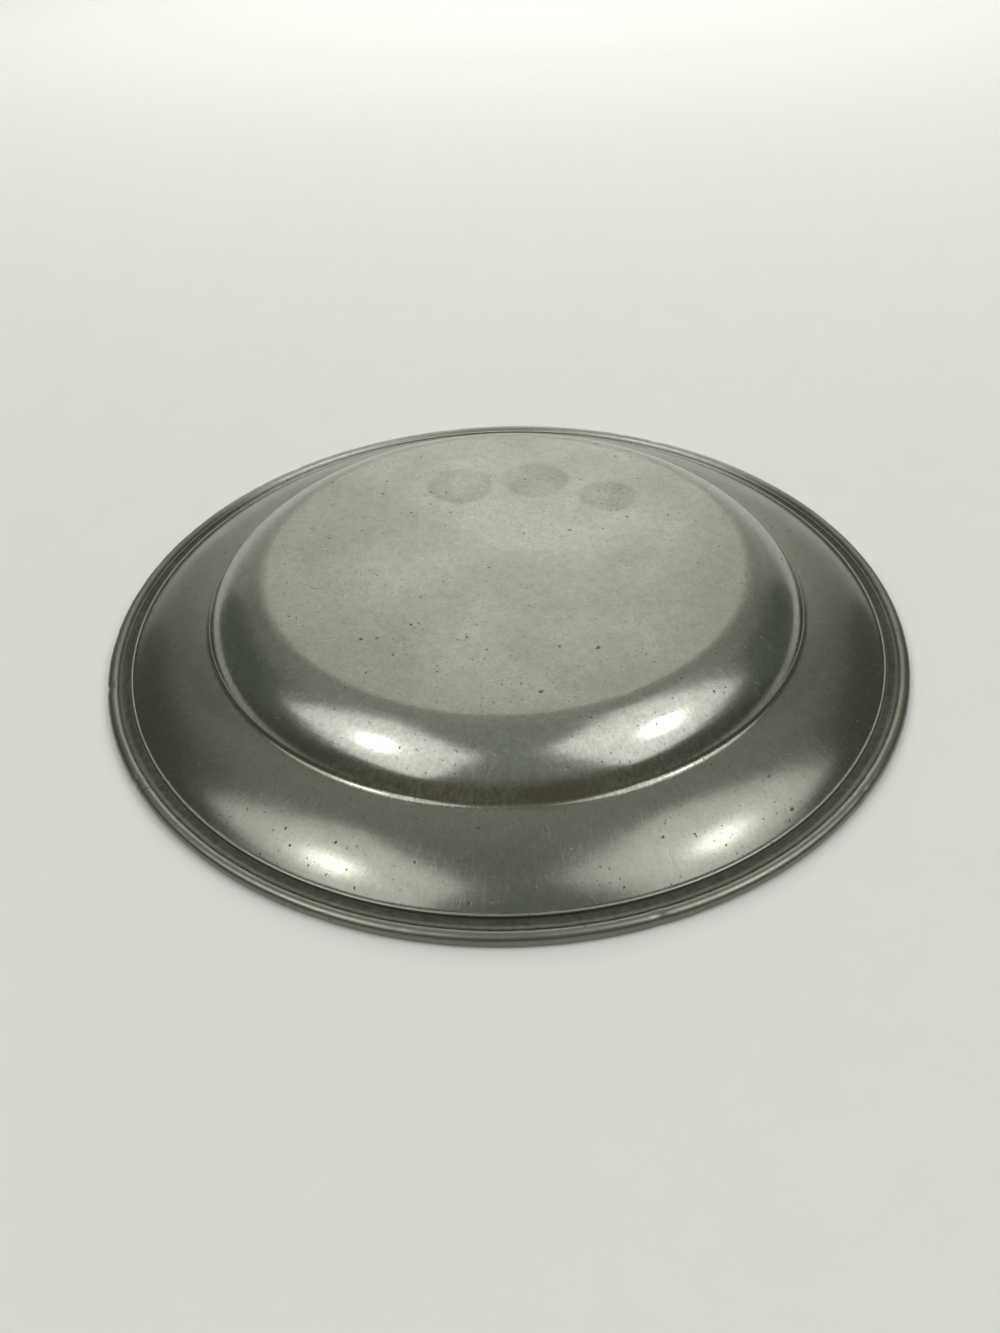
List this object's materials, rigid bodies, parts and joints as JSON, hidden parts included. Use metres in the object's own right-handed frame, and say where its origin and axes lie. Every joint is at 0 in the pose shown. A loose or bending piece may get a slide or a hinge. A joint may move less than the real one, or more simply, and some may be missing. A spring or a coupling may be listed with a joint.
{
  "type": "pewter plate",
  "caption": "Round pewter plate with a flat well, rounded bouge, convex rim and reeded edge moulding, stored lying face down on its rim.",
  "frame": {"origin": "centre of the flat ring on the face of the rim, on which the plate lies face down: the bottom centre of its box", "axes": "+Z along the plate's axis, from its face towards the flat foot under the well; +Y away from the viewer and +X to the viewer's right, as pictured. Turn the part over about X or Y for use right way up."},
  "size_m": [0.235, 0.235, 0.0238],
  "materials": {
    "worn_pewter": "aged pewter, satin, with fine scratches and small dark pits",
    "dull_pewter": "aged pewter, satin, with dark dirt in the grooves"
  },
  "bodies": {
    "root": {"plate_body": "worn_pewter", "rim_moulding": "dull_pewter"}
  },
  "joints": []
}
